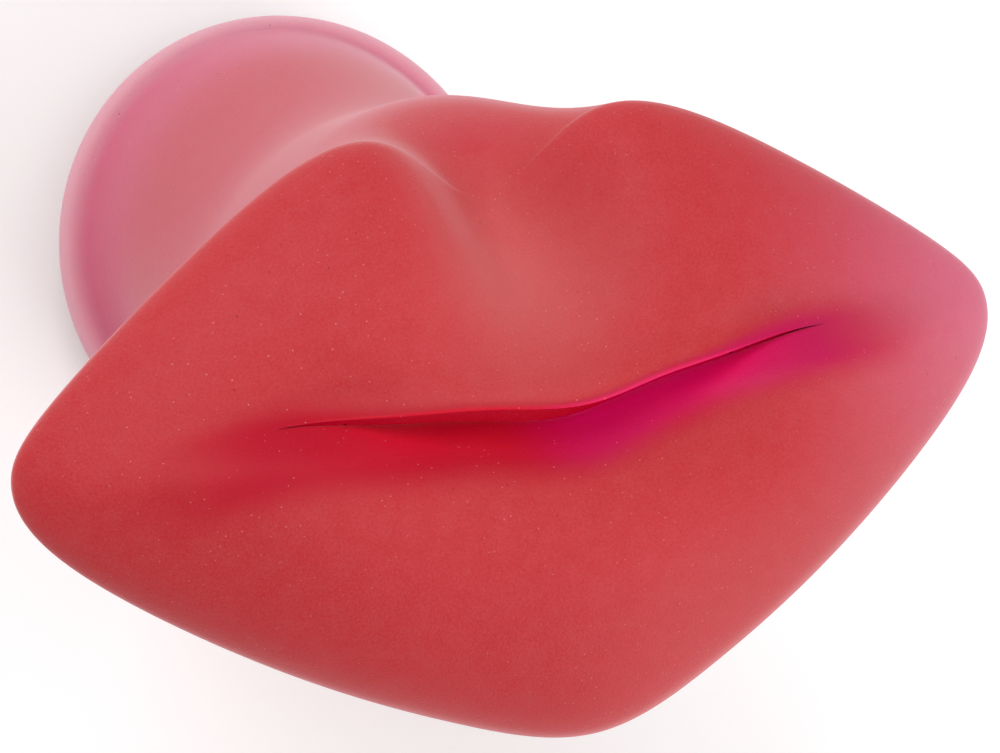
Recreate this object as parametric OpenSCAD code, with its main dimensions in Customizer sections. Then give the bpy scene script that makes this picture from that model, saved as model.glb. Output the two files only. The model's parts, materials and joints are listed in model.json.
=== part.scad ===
// Lips-shaped novelty telephone. It stands on a round foot, with the lips facing up.
// Z = 0 is the desk. The lower lip is towards -Y, the line jack is at the rear, +Y.

/* [Lips] */
// Height of the plane through the edge of the lips
rim_height = 160; // [154:1:170]
// How far the middle of the lips leans forward of the foot
head_lean = 31; // [24:1:34]
// Radius of the rolled edge around the lips
edge_r = 9.5; // [8:0.5:11]
// Fullness of the upper lip
upper_full = 17; // [14:1:20]
// Fullness of the lower lip
lower_full = 26; // [22:1:30]
// Height of the surface near the corners of the mouth
corner_full = 8; // [6:1:10]
// Depth of the crease between the lips
crease_depth = 17; // [14:1:18]
// Half the length of the mouth slit
slit_half = 52; // [48:1:56]
// Height of the mouth slit at its middle
slit_gap = 2.4; // [2:0.2:4]
// Thickness of the soft vinyl skin
skin_t = 3.5; // [3:0.1:4]

/* [Neck and foot] */
// Radius of the soft foot
foot_r = 53.5; // [50:0.5:56]
// Half the width of the neck
neck_half = 47; // [46:0.5:50]
// How much deeper than wide the neck is
neck_oval = 1.18; // [1.1:0.01:1.22]
// Height of the widest part of the neck
neck_z = 96; // [90:1:100]
// How far the neck draws in just above the foot
waist = 4.5; // [0:0.5:5]

/* [Base] */
// Height of the rigid base below the soft foot
base_h = 16; // [16:0.5:18]
// Outer radius of the rigid base
base_r = 43; // [43:0.5:44]
// Height of the rubber feet
pad_h = 2; // [2:0.1:2.4]

/* [Keypad] */
// Distance between key columns
key_dx = 13.5; // [13:0.5:14]
// Distance between key rows
key_dy = 11; // [10.5:0.5:11.5]
// Width of a number key
key_w = 10; // [9:0.5:10.5]
// Depth of a number key
key_d = 7.6; // [7:0.2:8]
// How far a key can be pressed
key_travel = 1.4; // [1:0.1:1.4]
// How far the hook plunger drops when the telephone is lifted
hook_travel = 4; // [3:0.5:4]

/* [Hidden] */
$fn = 64;

skin_red = [0.78, 0.24, 0.27];
crimson = [0.72, 0.02, 0.16];
base_red = [0.55, 0.07, 0.1];
key_white = [0.93, 0.91, 0.87];

// ---- Lips outline: right half of a closed B-spline's control points, from the middle of
// ---- the upper lip to the middle of the lower lip; the left half mirrors them
lip_right = [[0, 23], [19, 56], [55.5, 35], [90, 9.5], [97, 0], [92, -15], [53.5, -43.5],
             [23.5, -58.5], [0, -68]];
lip_controls = concat(lip_right, [for (i = [7:-1:1]) [-lip_right[i][0], lip_right[i][1]]]);
lip_reach = 95;
lower_reach = -(2 * lip_right[7][1] + 4 * lip_right[8][1]) / 6;
// The origin is under the middle of the whole telephone; the foot is behind it
foot_y = (head_lean + lower_reach - foot_r) / 2;

skin_sides = 64;
flare_rings = 8;
head_rings = 9;
front_rings = 12;
inner_front_rings = 8;
foot_lip_h = 6;
bore_r = 41;
bead_r = 37.5;
bead_z = base_h + 11;
bead_h = 3;
bore_top = bead_z + 7;
head_start = rim_height - 39;
foot_edge = foot_r - foot_lip_h / 2;

function mix(a, b, t) = a + (b - a) * t;
function smooth(a, b, x) = let (t = max(0, min(1, (x - a) / (b - a)))) t * t * (3 - 2 * t);
function bell(x, w) = exp(-pow(x / w, 2));
function spline_point(c, u) =
    let (n = len(c), i = floor(u), t = u - i,
         w = [pow(1 - t, 3), 3 * pow(t, 3) - 6 * t * t + 4,
              -3 * pow(t, 3) + 3 * t * t + 3 * t + 1, pow(t, 3)])
    (w[0] * c[(i + n - 1) % n] + w[1] * c[i % n] + w[2] * c[(i + 1) % n]
     + w[3] * c[(i + 2) % n]) / 6;

lip_edge = [for (j = [0:skin_sides - 1])
            spline_point(lip_controls, j * len(lip_controls) / skin_sides)];
lip_angle = [for (p = lip_edge) let (a = atan2(p[1], p[0])) a > 90.01 ? a - 360 : a];
lip_radius = [for (p = lip_edge) norm(p)];
function even_angle(j) = 90 - 360 * j / skin_sides;

// ---- Mouth slit: its upper edge waves, with a dip at the middle of the upper lip
function slit_line(x) = -1 - 3 * bell(x, 15) + 2.4 * bell(abs(x) - 50, 17);
function slit_open(x) = slit_gap * max(0, 1 - pow(x / slit_half, 2));
slit_edge = [for (p = lip_edge)
             let (x = slit_half * sign(p[0]) * pow(min(1, abs(p[0]) / lip_reach), 0.9))
             [x, slit_line(x) - (p[1] > 0 ? 0 : slit_open(x))]];

// ---- Height of the lips above their edge; w runs from 0 at the edge to 1 at the slit
function lip_body(x, y) =
    let (side = max(0, 1 - pow(x / (1.02 * lip_reach), 2)), full = mix(lower_full, upper_full,
         smooth(-6, 6, y)))
    corner_full + (full - corner_full) * pow(side, 0.7);
function crease(x, y) =
    let (d = y - slit_line(x), along = 1 - smooth(0.4 * slit_half, 1.34 * slit_half, abs(x)),
         open = smooth(slit_half, 0.4 * slit_half, abs(x)))
    crease_depth * along
    * (d < -0.01 ? mix(0.5, 0.9, open) * exp(-pow(-d / 13, 1.5))
                 : mix(0.5, 0.2, open) * exp(-pow(max(0, d) / mix(9, 3, open), 1.5)));
function lip_height(x, y, w, soft) =
    let (rise = 1 - pow(1 - w, 2.2), dome = mix(sqrt(rise), rise, soft))
    lip_body(x, y) * dome - 14 * bell(x, 15) * smooth(4, 38, y) * dome
    + 2 * w * bell(abs(x) - 34, 20) * bell(y - 24, 16)
    + 3 * w * bell(x, 42) * bell(y + 30, 16) - crease(x, y);

// At the dip of the upper lip the edge drops and turns softly into the neck
bow_drop = 9;
function bow(p) = bell(p[0], 15) * smooth(8, 26, p[1]);

// ---- Neck: an oval that leans forward as it rises from the round foot
function neck_radius(a) =
    neck_half * neck_oval / sqrt(pow(neck_oval * cos(a), 2) + pow(sin(a), 2));
function sway(u) = 0.3 * u + 0.7 * u * u * (3 - 2 * u);
function axis_y(z) =
    -head_lean * (1 - sway(max(0, min(1, (neck_z - z) / (neck_z - base_h - foot_lip_h)))));
function on_axis(r, a, z) = [r * cos(a), axis_y(z) + r * sin(a), z];

function neck_wall(a, psi) =
    foot_edge - (foot_edge - neck_radius(a)) * cos(psi) - waist * sin(2 * psi);

// Rings of the skin; inset is 0 outside and the skin's thickness inside
function foot_lip_ring(a) = [for (j = [0:skin_sides - 1])
    on_axis(foot_edge + foot_lip_h / 2 * cos(a), even_angle(j),
            base_h + foot_lip_h / 2 * (1 + sin(a)))];
function neck_ring(psi, inset) =
    let (z = neck_z - (neck_z - base_h - foot_lip_h) * sin(psi), turn = smooth(base_h, head_start, z))
    [for (j = [0:skin_sides - 1])
     let (a = mix(even_angle(j), lip_angle[j], turn))
     on_axis(neck_wall(a, psi) - inset, a, z)];
// Under the lips the skin flares out and rolls round the edge; where the neck is wider than
// the lips it closes in over a shoulder instead
function head_ring(t, inset) =
    let (roll = 0.7, psi = 90 * min(1, t / roll), arc = 90 * max(0, (t - roll) / (1 - roll)))
    [for (j = [0:skin_sides - 1])
     let (a = lip_angle[j], edge = lip_radius[j], centre = edge - edge_r,
          neck = neck_radius(a) - inset, low = rim_height - edge_r + inset,
          out_r = t < roll ? mix(neck, centre, 1 - cos(psi))
                           : centre + (edge_r - inset) * sin(arc),
          out_z = t < roll ? mix(head_start, low, sin(psi))
                           : rim_height - (edge_r - inset) * cos(arc),
          in_r = mix(neck, edge - inset, t * t),
          in_z = mix(head_start, rim_height, t),
          flare = smooth(-10, 22, centre - neck_radius(a)))
     on_axis(mix(in_r, out_r, flare), a,
             mix(in_z, out_z, flare) - bow_drop * bow(lip_edge[j]) * t * t)];
function front_ring(s, inset) =
    let (w = 1 - cos(90 * s))
    [for (j = [0:skin_sides - 1])
     let (start = lip_edge[j] * (1 - inset / lip_radius[j]), p = mix(start, slit_edge[j], w),
          soft = bow(lip_edge[j]))
     [p[0], p[1] - head_lean, rim_height + lip_height(p[0], p[1], w, soft)
         - bow_drop * soft * pow(1 - w, 2) - inset * sqrt(1 - pow(1 - w, 2.2))]];
function bore_ring(r, z) = [for (j = [0:skin_sides - 1])
    [r * cos(even_angle(j)), r * sin(even_angle(j)), z]];

skin_rings = concat(
    [for (a = [-90:45:90]) foot_lip_ring(a)],
    [for (k = [flare_rings - 1:-1:0]) neck_ring(90 * k / flare_rings, 0)],
    [for (k = [0:head_rings]) head_ring(k / head_rings, 0)],
    [for (k = [1:front_rings]) front_ring(k / front_rings, 0)],
    [for (k = [inner_front_rings:-1:1]) front_ring(k / inner_front_rings, skin_t)],
    [for (k = [head_rings:-1:0]) head_ring(k / head_rings, skin_t)],
    [for (k = [1:flare_rings - 3]) neck_ring(90 * k / flare_rings, skin_t)],
    [bore_ring(bore_r, bore_top), bore_ring(bore_r, bead_z + bead_h),
     bore_ring(bead_r, bead_z + bead_h), bore_ring(bead_r, bead_z),
     bore_ring(bore_r, bead_z), bore_ring(bore_r, base_h)]);

// A closed surface through a list of rings; ends is true for a solid with flat ends, false
// for a loop of rings, such as a hollow skin
module ring_solid(rings, ends) {
    n = len(rings[0]);
    m = len(rings);
    spans = ends ? m - 1 : m;
    points = [for (r = rings) for (p = r) p];
    walls = [for (i = [0:spans - 1]) for (j = [0:n - 1])
             let (a = i * n + j, b = i * n + (j + 1) % n, c = ((i + 1) % m) * n + (j + 1) % n,
                  d = ((i + 1) % m) * n + j)
             each [[a, b, c], [a, c, d]]];
    caps = ends ? [[for (j = [n - 1:-1:0]) j], [for (j = [0:n - 1]) (m - 1) * n + j]] : [];
    polyhedron(points, concat(walls, caps), convexity = 10);
}

// ---- Wires: a round tube of sides around a route's own points
function cross_unit(d) = let (c = abs(d[2]) > 0.9 ? cross(d, [1, 0, 0]) : cross(d, [0, 0, 1]))
    c / norm(c);
function open_spline(c, steps) =
    let (e = concat([2 * c[0] - c[1]], c, [2 * c[len(c) - 1] - c[len(c) - 2]]))
    [for (i = [0:len(c) - 2]) for (k = [0:steps - 1])
     let (t = k / steps,
          w = [pow(1 - t, 3), 3 * pow(t, 3) - 6 * t * t + 4,
               -3 * pow(t, 3) + 3 * t * t + 3 * t + 1, pow(t, 3)])
     (w[0] * e[i] + w[1] * e[i + 1] + w[2] * e[i + 2] + w[3] * e[i + 3]) / 6];
module wire(route, r) {
    path = concat(open_spline(route, 3), [route[len(route) - 1]]);
    last = len(path) - 1;
    ring_solid([for (i = [0:last])
        let (d = path[min(last, i + 1)] - path[max(0, i - 1)], u = cross_unit(d / norm(d)),
             v = cross(d / norm(d), u))
        [for (k = [0:7]) path[i] + r * (cos(45 * k) * u + sin(45 * k) * v)]], true);
}

module rounded_plate(w, d, r, h) {
    linear_extrude(h) {
        square([w - 2 * r, d], center = true);
        square([w, d - 2 * r], center = true);
        for (x = [-1, 1], y = [-1, 1])
            translate([x * (w / 2 - r), y * (d / 2 - r)]) circle(r);
    }
}
module ring(r_out, r_in, h) {
    difference() {
        cylinder(r = r_out, h = h);
        translate([0, 0, -1]) cylinder(r = r_in, h = h + 2);
    }
}
module pan_screw(r, head_r, head_h, length) {
    cylinder(r = r, h = length);
    translate([0, 0, -head_h]) difference() {
        cylinder(r = head_r, h = head_h);
        for (a = [0, 90]) rotate([0, 0, a]) translate([-head_r * 0.6, -0.3, -1])
            cube([head_r * 1.2, 0.6, 1 + head_h * 0.5]);
    }
}

// ---- Levels of the parts in the base, from the desk up
cover_t = 3;
cover_z = pad_h;
cover_top = cover_z + cover_t;
pocket = 1.2;
key_z = 1.2;
flange_z = cover_top + 0.2;
flange_t = 1.2;
dome_z = flange_z + flange_t;
dome_h = key_travel + 0.6;
sheet_t = 1;
board_z = dome_z + dome_h + sheet_t;
board_t = 1.6;
deck_z = 14.5;
deck_t = 1.5;
wall_t = 2.4;
spigot_r = bore_r - 0.2;
main_z = 22;
main_r = 34;
clamp_z = bead_z + bead_h + 0.2;
clamp_t = 2.5;
spine_z = clamp_z + clamp_t;
spine_plate_t = 3;
ballast_z = spine_z + spine_plate_t;
ballast_t = 6;
ballast_r = 28.5;

hook_pos = [0, -31];
cover_screw_r = 37;
cover_screw_angles = [20, 160, 200, 340];
clamp_screw_r = 34.8;
clamp_screw_angles = [45, 135, 225, 315];
main_post_angles = [0, 90, 180];
pad_pos = 25.8;
knob_slide = 5;

// Key name, column and row; the columns are mirrored because the keys are read from below
function number_keys() = [["1", 1, 0], ["2", 0, 0], ["3", -1, 0], ["4", 1, 1], ["5", 0, 1],
    ["6", -1, 1], ["7", 1, 2], ["8", 0, 2], ["9", -1, 2], ["star", 1, 3], ["0", 0, 3],
    ["hash", -1, 3]];
key_row_y = 18;
function key_pos(k) = [k[1] * key_dx, key_row_y - k[2] * key_dy];
side_keys = [["redial", 15, -26.4], ["flash", -15, -26.4]];
side_key_w = 10;
side_key_d = 5;
key_gap = 0.3;
key_spots = concat(
    [for (k = number_keys()) [key_pos(k)[0], key_pos(k)[1], key_w, key_d]],
    [for (k = side_keys) [k[1], k[2], side_key_w, side_key_d]]);

// ---- Soft shell
module lips_skin() {
    color(skin_red) ring_solid(skin_rings, false);
}

// The screen follows the mouth along a gentle arc and covers the slit from inside
screen_y = -4.5;
screen_half = 70;
screen_w = 17;
screen_t = 1.4;
screen_z = rim_height + 3.8;
screen_sag = 0.8;
screen_r = (pow(screen_half, 2) + pow(screen_sag, 2)) / (2 * screen_sag);
function screen_under(x) = screen_z + screen_r - sqrt(pow(screen_r, 2) - x * x);
module mouth_screen() {
    color(crimson) difference() {
        translate([0, screen_y - head_lean + screen_w / 2, screen_z + screen_r])
            rotate([90, 0, 0]) linear_extrude(screen_w) difference() {
                intersection() {
                    circle(screen_r, $fn = 256);
                    translate([-screen_half, -screen_r - 1])
                        square([2 * screen_half, screen_sag + 4]);
                }
                circle(screen_r - screen_t, $fn = 256);
            }
        for (side = [-1, 1], i = [-2:2], j = [-1:1])
            translate([side * 44 + i * 3.2, screen_y - head_lean + j * 3.2, screen_z - 5])
                cylinder(r = 0.7, h = 20);
    }
}

// ---- Frame inside the lips
frame_z = rim_height - edge_r + skin_t + 0.4;
frame_t = 2.5;
frame_half = 62;
frame_w = 40;
capsule_x = 52;
capsule_y = -5;
capsule_z = frame_z + frame_t;
receiver_h = 6;
gasket_h = 1;
module head_frame() {
    color([0.25, 0.25, 0.27]) {
        difference() {
            union() {
                translate([0, -head_lean, frame_z])
                    rounded_plate(2 * frame_half + 14, frame_w, 14, frame_t);
                // Socket for the top of the spine tube
                spine_cylinder(spine_r + 2.5, spine_length - 14, spine_length + 3);
            }
            spine_cylinder(spine_r + 0.05, spine_length - 15, spine_length + 0.05);
            spine_cylinder(spine_r - spine_wall, spine_length - 1, spine_length + 12);
            for (x = [-1, 1]) translate([x * 24, -head_lean, frame_z - 1])
                cylinder(r = 4, h = frame_t + 2);
            for (x = [-1, 1]) translate([x * capsule_x, capsule_y - head_lean, frame_z - 1])
                cylinder(r = 3, h = frame_t + 2);
            translate([-40, -head_lean - 40, frame_z + frame_t]) cube([80, 80, 20]);
        }
        // Posts that carry the mouth screen
        for (x = [-34, 34], y = [-11, 2])
            translate([x, y - head_lean, frame_z + frame_t - 0.5])
                cylinder(r = 2.5, h = screen_under(34) - frame_z - frame_t + 0.4, $fn = 32);
    }
}
module receiver_capsule() {
    color([0.2, 0.2, 0.22]) translate([-capsule_x, capsule_y - head_lean, capsule_z]) {
        difference() {
            cylinder(r = 11, h = receiver_h);
            for (a = [0:60:300]) rotate([0, 0, a]) translate([5, 0, receiver_h - 1])
                cylinder(r = 0.9, h = 2, $fn = 24);
            translate([0, 0, receiver_h - 1]) cylinder(r = 1.2, h = 2, $fn = 24);
        }
    }
}
module receiver_gasket() {
    color([0.1, 0.1, 0.1]) translate([-capsule_x, capsule_y - head_lean, capsule_z + receiver_h])
        ring(10, 7.5, gasket_h);
}
module microphone_capsule() {
    color([0.75, 0.75, 0.77]) translate([capsule_x, capsule_y - head_lean, capsule_z + 1])
        cylinder(r = 3.5, h = 4.5);
}
module microphone_boot() {
    color([0.08, 0.08, 0.08]) translate([capsule_x, capsule_y - head_lean, capsule_z])
        difference() {
            cylinder(r = 6, h = 6);
            translate([0, 0, 1]) cylinder(r = 3.5, h = 6);
        }
}

// ---- Spine: a tube that carries the head, leaning forward like the neck
spine_r = 14;
spine_wall = 1.5;
spine_base_y = -1;
spine_start = [0, spine_base_y, ballast_z + 1];
spine_end = [0, -head_lean, frame_z - 1];
spine_length = norm(spine_end - spine_start);
spine_tilt = atan2(spine_start[1] - spine_end[1], spine_end[2] - spine_start[2]);
module spine_cylinder(r, from, to) {
    translate(spine_start) rotate([spine_tilt, 0, 0]) translate([0, 0, from])
        cylinder(r = r, h = to - from);
}
module spine_tube() {
    color([0.75, 0.76, 0.78]) difference() {
        spine_cylinder(spine_r, 0, spine_length);
        spine_cylinder(spine_r - spine_wall, -1, spine_length + 1);
    }
}
module spine_foot() {
    color([0.25, 0.25, 0.27]) difference() {
        union() {
            translate([0, 0, spine_z]) cylinder(r = 38.5, h = spine_plate_t);
            spine_cylinder(spine_r + 2.5, -3, 16);
        }
        spine_cylinder(spine_r + 0.05, -0.05, 20);
        spine_cylinder(spine_r - spine_wall, -20, 1);
        translate([-40, -40, spine_z - 20]) cube([80, 80, 20]);
        for (a = clamp_screw_angles) rotate([0, 0, a]) translate([clamp_screw_r, 0, spine_z - 1])
            cylinder(r = 1.4, h = spine_plate_t + 2, $fn = 32);
    }
}
module spine_screws() {
    color([0.7, 0.7, 0.72]) for (a = clamp_screw_angles) rotate([0, 0, a])
        translate([clamp_screw_r, 0, ballast_z]) mirror([0, 0, 1])
            pan_screw(1.35, 2.6, 1.6, 12);
}
module ballast_weight() {
    color([0.45, 0.45, 0.47]) difference() {
        translate([0, -3.5, ballast_z]) cylinder(r = ballast_r, h = ballast_t);
        spine_cylinder(spine_r + 2.9, -10, 20);
    }
}
sleeve_gap = 3.4;
module foam_sleeve() {
    color([0.9, 0.85, 0.6]) difference() {
        ring_solid([for (z = [ballast_z + ballast_t + 3:9:head_start - 1])
            let (s = min(1, (neck_z - z) / (neck_z - base_h - foot_lip_h)),
                 psi = asin(max(0, s)), grow = smooth(44, 60, z))
            [for (j = [0:35])
             let (a = 10 * j, r = neck_wall(a, psi))
             on_axis(r - skin_t - sleeve_gap - 3 * (1 - grow), a, z)]], true);
        spine_cylinder(spine_r + 2.9, -20, spine_length);
    }
}

// ---- Base
module skin_clamp_ring() {
    color([0.6, 0.6, 0.62]) translate([0, 0, clamp_z]) difference() {
        ring(40, 29, clamp_t);
        for (a = clamp_screw_angles) rotate([0, 0, a]) translate([clamp_screw_r, 0, -1])
            cylinder(r = 1.4, h = clamp_t + 2, $fn = 32);
    }
}
stem_r = 2.5;
jack_w = 12;
jack_d = 13.4;
jack_h = 9.2;
jack_z = cover_top + 0.1;
jack_back = 42.4;
module base_housing() {
    color(base_red) difference() {
        union() {
            translate([0, 0, pad_h]) ring(base_r, base_r - wall_t, base_h - pad_h);
            translate([0, 0, base_h - 1]) ring(spigot_r, spigot_r - 2.2, bead_z - base_h + 1);
            translate([0, 0, deck_z]) ring(base_r - wall_t + 0.5, 16, deck_t);
            for (a = cover_screw_angles) rotate([0, 0, a])
                translate([cover_screw_r, 0, cover_top]) cylinder(r = 3.8, h = deck_z - cover_top + 1);
            for (a = clamp_screw_angles) rotate([0, 0, a])
                translate([clamp_screw_r, 0, deck_z + 1]) {
                    cylinder(r = 4, h = bead_z - deck_z - 1.1);
                    cylinder(r = 2.4, h = clamp_z - deck_z - 1, $fn = 32);
                }
            // Pillar around the plunger stem
            translate([hook_pos[0], hook_pos[1], deck_z]) cylinder(r = 4.5, h = deck_t);
            for (p = board_posts) translate([p[0], p[1], board_z + board_t])
                cylinder(r = 2.6, h = deck_z - board_z - board_t + 0.5, $fn = 32);
            for (a = main_post_angles) rotate([0, 0, a]) translate([main_r - 6, 0, deck_z + 1])
                cylinder(r = 2.6, h = main_z - deck_z - 1, $fn = 32);
        }
        for (a = cover_screw_angles) rotate([0, 0, a])
            translate([cover_screw_r, 0, cover_top - 1]) cylinder(r = 1.25, h = 9, $fn = 32);
        for (a = clamp_screw_angles) rotate([0, 0, a])
            translate([clamp_screw_r, 0, clamp_z - 9]) cylinder(r = 1.4, h = 10, $fn = 32);
        for (p = board_posts) translate([p[0], p[1], board_z])
            cylinder(r = 1.05, h = 4.5, $fn = 32);
        for (a = main_post_angles) rotate([0, 0, a]) translate([main_r - 6, 0, main_z - 5])
            cylinder(r = 1.05, h = 6, $fn = 32);
        translate([hook_pos[0], hook_pos[1], deck_z - 1]) cylinder(r = stem_r + 0.25, h = 5);
        // Window for the line jack
        translate([-jack_w / 2 - 0.15, jack_back - jack_d - 0.2, pad_h - 1])
            cube([jack_w + 0.3, 20, jack_z + jack_h + 0.15 - pad_h + 1]);
        // Slots for the two slide switches
        for (side = [-1, 1]) translate([side * (base_r - 3), 0, knob_z + knob_h / 2])
            cube([10, knob_slide + knob_w + 0.6, knob_h + 0.6], center = true);
    }
}
board_posts = [[27, 6], [-27, 6], [7.6, -24.4], [-7.6, -24.4]];
module keypad_cover() {
    color(base_red) difference() {
        translate([0, 0, cover_z]) cylinder(r = base_r - wall_t - 0.15, h = cover_t);
        translate([0, key_row_y - 1.5 * key_dy, cover_z - 1])
            rounded_plate(46, 46, 4, 1 + pocket);
        for (k = side_keys) translate([k[1], k[2], cover_z - 1])
            rounded_plate(side_key_w + 4, side_key_d + 3.4, 2, 1 + pocket);
        for (s = key_spots) translate([s[0], s[1], cover_z - 1])
            rounded_plate(s[2] + 2 * key_gap, s[3] + 2 * key_gap, 1.4, cover_t + 2);
        translate([hook_pos[0], hook_pos[1], cover_z - 1]) cylinder(r = 4.3, h = cover_t + 2);
        for (a = cover_screw_angles) rotate([0, 0, a])
            translate([cover_screw_r, 0, cover_z - 1]) {
                cylinder(r = 1.5, h = cover_t + 2, $fn = 32);
                cylinder(r = 2.8, h = 1 + 1.6, $fn = 32);
            }
        for (x = [-1, 1], y = [-1, 1]) translate([x * pad_pos, y * pad_pos, cover_z - 1])
            cylinder(r = 4.1, h = 1.6);
        // Room for the line jack
        translate([-jack_w / 2 - 0.15, jack_back - jack_d + 9, cover_z - 1])
            cube([jack_w + 0.3, 20, cover_t + 2]);
    }
}
module cover_screws() {
    color([0.7, 0.7, 0.72]) for (a = cover_screw_angles) rotate([0, 0, a])
        translate([cover_screw_r, 0, cover_z + 1.6]) pan_screw(1.2, 2.5, 1.4, 8);
}
module rubber_feet() {
    color([0.08, 0.08, 0.08]) for (x = [-1, 1], y = [-1, 1])
        translate([x * pad_pos, y * pad_pos, 0]) cylinder(r = 4, h = cover_z + 0.6);
}

// ---- Keys: a cap, and a flange that the cover holds in
module key_cap(pos, w, d) {
    translate([pos[0], pos[1], 0]) {
        translate([0, 0, key_z]) difference() {
            rounded_plate(w, d, 1.2, flange_z - key_z + 0.1);
            translate([0, 0, -39.6]) sphere(r = 40, $fn = 96);
        }
        translate([0, 0, flange_z]) rounded_plate(w + 1.8, d + 1.8, 1.6, flange_t);
    }
}
module number_key(k) {
    color(key_white) key_cap(key_pos(k), key_w, key_d);
}
module side_key(k) {
    color([0.35, 0.33, 0.33]) key_cap([k[1], k[2]], side_key_w, side_key_d);
}
module dome_sheet() {
    color([0.85, 0.84, 0.8]) {
        difference() {
            translate([0, 0, dome_z + dome_h]) union() {
                translate([0, key_row_y - 1.5 * key_dy, 0]) rounded_plate(44, 45, 3, sheet_t);
                for (k = side_keys) translate([k[1], k[2], 0])
                    rounded_plate(9.6, 8, 1.5, sheet_t);
            }
            translate([hook_pos[0], hook_pos[1], dome_z]) cylinder(r = 7.4, h = 6);
        }
        for (s = key_spots) translate([s[0], s[1], dome_z]) cylinder(r1 = 1.8, r2 = 3, h = dome_h);
    }
}
module keypad_board() {
    color([0.12, 0.35, 0.2]) translate([0, 0, board_z]) difference() {
        intersection() {
            cylinder(r = 34.5, h = board_t);
            translate([-30.4, -40, -1]) cube([60.8, 40 + 28.6, board_t + 2]);
        }
        translate([hook_pos[0], hook_pos[1], -1]) cylinder(r = 7.4, h = board_t + 2);
        for (p = board_posts) translate([p[0], p[1], -1])
            cylinder(r = 1.2, h = board_t + 2, $fn = 32);
    }
}
module board_screws() {
    color([0.7, 0.7, 0.72]) {
        for (p = board_posts) translate([p[0], p[1], board_z])
            pan_screw(1, 1.9, 1, 4.4);
        for (a = main_post_angles) rotate([0, 0, a]) translate([main_r - 6, 0, main_z + board_t])
            mirror([0, 0, 1]) pan_screw(1, 1.9, 1, 6);
    }
}
module main_board() {
    color([0.1, 0.32, 0.18]) translate([0, 0, main_z]) difference() {
        cylinder(r = main_r, h = board_t);
        for (a = clamp_screw_angles) rotate([0, 0, a]) translate([clamp_screw_r, 0, -1])
            cylinder(r = 4.4, h = board_t + 2);
        for (a = main_post_angles) rotate([0, 0, a]) translate([main_r - 6, 0, -1])
            cylinder(r = 1.2, h = board_t + 2, $fn = 32);
    }
}
part_z = main_z + board_t;
module board_parts() {
    color([0.15, 0.15, 0.16]) {
        translate([6, 2, part_z]) cube([13, 6.5, 3]);
        translate([6, 11, part_z]) cube([8, 5, 2.4]);
        translate([-16, 14, part_z]) cube([10, 6, 2.6]);
    }
    color([0.15, 0.25, 0.5]) for (p = [[3, 22], [11, 21], [18, -3]])
        translate([p[0], p[1], part_z]) cylinder(r = 3.1, h = 6.6);
    color([0.8, 0.7, 0.5]) for (i = [0:3]) translate([20, 5 + 3.4 * i, part_z]) cube([6, 2, 2]);
}
module line_transformer() {
    color([0.85, 0.75, 0.3]) translate([-21, -5, part_z]) {
        cube([15, 13, 7.6]);
        translate([3, -1.5, 0]) cube([9, 16, 6.2]);
    }
}
module ringer_disc() {
    color([0.8, 0.65, 0.3]) translate([3, -17, part_z]) ring(9, 1.5, 3.4);
}
module hook_switch() {
    color([0.1, 0.1, 0.1]) {
        translate([hook_pos[0] - 6, hook_pos[1] - 3, main_z - 4.6]) cube([12, 6, 4.6]);
        translate([hook_pos[0], hook_pos[1], main_z - 4.9]) cylinder(r = 1.1, h = 0.6, $fn = 32);
    }
}

// ---- Hook plunger: pressed flush with the rubber feet while the telephone stands
plunger_flange_z = cover_top + hook_travel + 0.1;
plunger_flange_t = 1.4;
module hook_plunger() {
    color(key_white) translate([hook_pos[0], hook_pos[1], 0]) {
        difference() {
            cylinder(r = 4, h = plunger_flange_z + 0.2);
            translate([0, 0, -1]) cylinder(r = 1.2, h = 1.6);
        }
        translate([0, 0, plunger_flange_z]) cylinder(r = 6, h = plunger_flange_t);
        translate([0, 0, plunger_flange_z + 1])
            cylinder(r = stem_r, h = main_z - 4.9 - plunger_flange_z - 1);
    }
}
spring_r = 4.4;
spring_wire = 0.3;
spring_turns = 3;
spring_low = plunger_flange_z + plunger_flange_t + spring_wire + 0.05;
spring_high = deck_z - spring_wire - 0.05;
module plunger_spring() {
    steps = 20 * spring_turns;
    color([0.8, 0.8, 0.82]) translate([hook_pos[0], hook_pos[1], 0])
        ring_solid([for (i = [0:steps])
            let (a = 360 * spring_turns * i / steps, z = mix(spring_low, spring_high, i / steps))
            [for (k = [0:7]) let (r = spring_r + spring_wire * cos(45 * k))
             [r * cos(a), r * sin(a), z - spring_wire * sin(45 * k)]]], true);
}

// ---- Slide switches in the sides of the base
knob_w = 4;
knob_h = 2.6;
knob_z = 9.4;
switch_in = 34.2;
module slide_switch(side) {
    color([0.6, 0.6, 0.62]) translate([side * (switch_in + 2.4), 0, knob_z + knob_h / 2])
        difference() {
            cube([4.8, 12, 5.6], center = true);
            translate([side * 2, 0, 0]) cube([4, knob_slide + knob_w + 0.4, knob_h + 0.4], center = true);
        }
}
module slide_knob(side) {
    color([0.9, 0.88, 0.84])
        translate([side > 0 ? switch_in + 2.6 : -base_r - 1.1, -knob_slide / 2 - knob_w / 2, knob_z])
            difference() {
                cube([base_r + 1.1 - switch_in - 2.6, knob_w, knob_h]);
                for (y = [1, 2, 3]) translate([side > 0 ? 6.9 : -1, y - 0.15, -1])
                    cube([1.4, 0.3, 5]);
            }
}
module line_jack() {
    color([0.12, 0.12, 0.13]) difference() {
        translate([-jack_w / 2, jack_back - jack_d, jack_z]) cube([jack_w, jack_d, jack_h]);
        translate([-4.9, jack_back - 11, jack_z + 1.1]) cube([9.8, 20, 5.6]);
        translate([-2, jack_back - 11, jack_z + 6]) cube([4, 20, 1.8]);
    }
}

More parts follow.
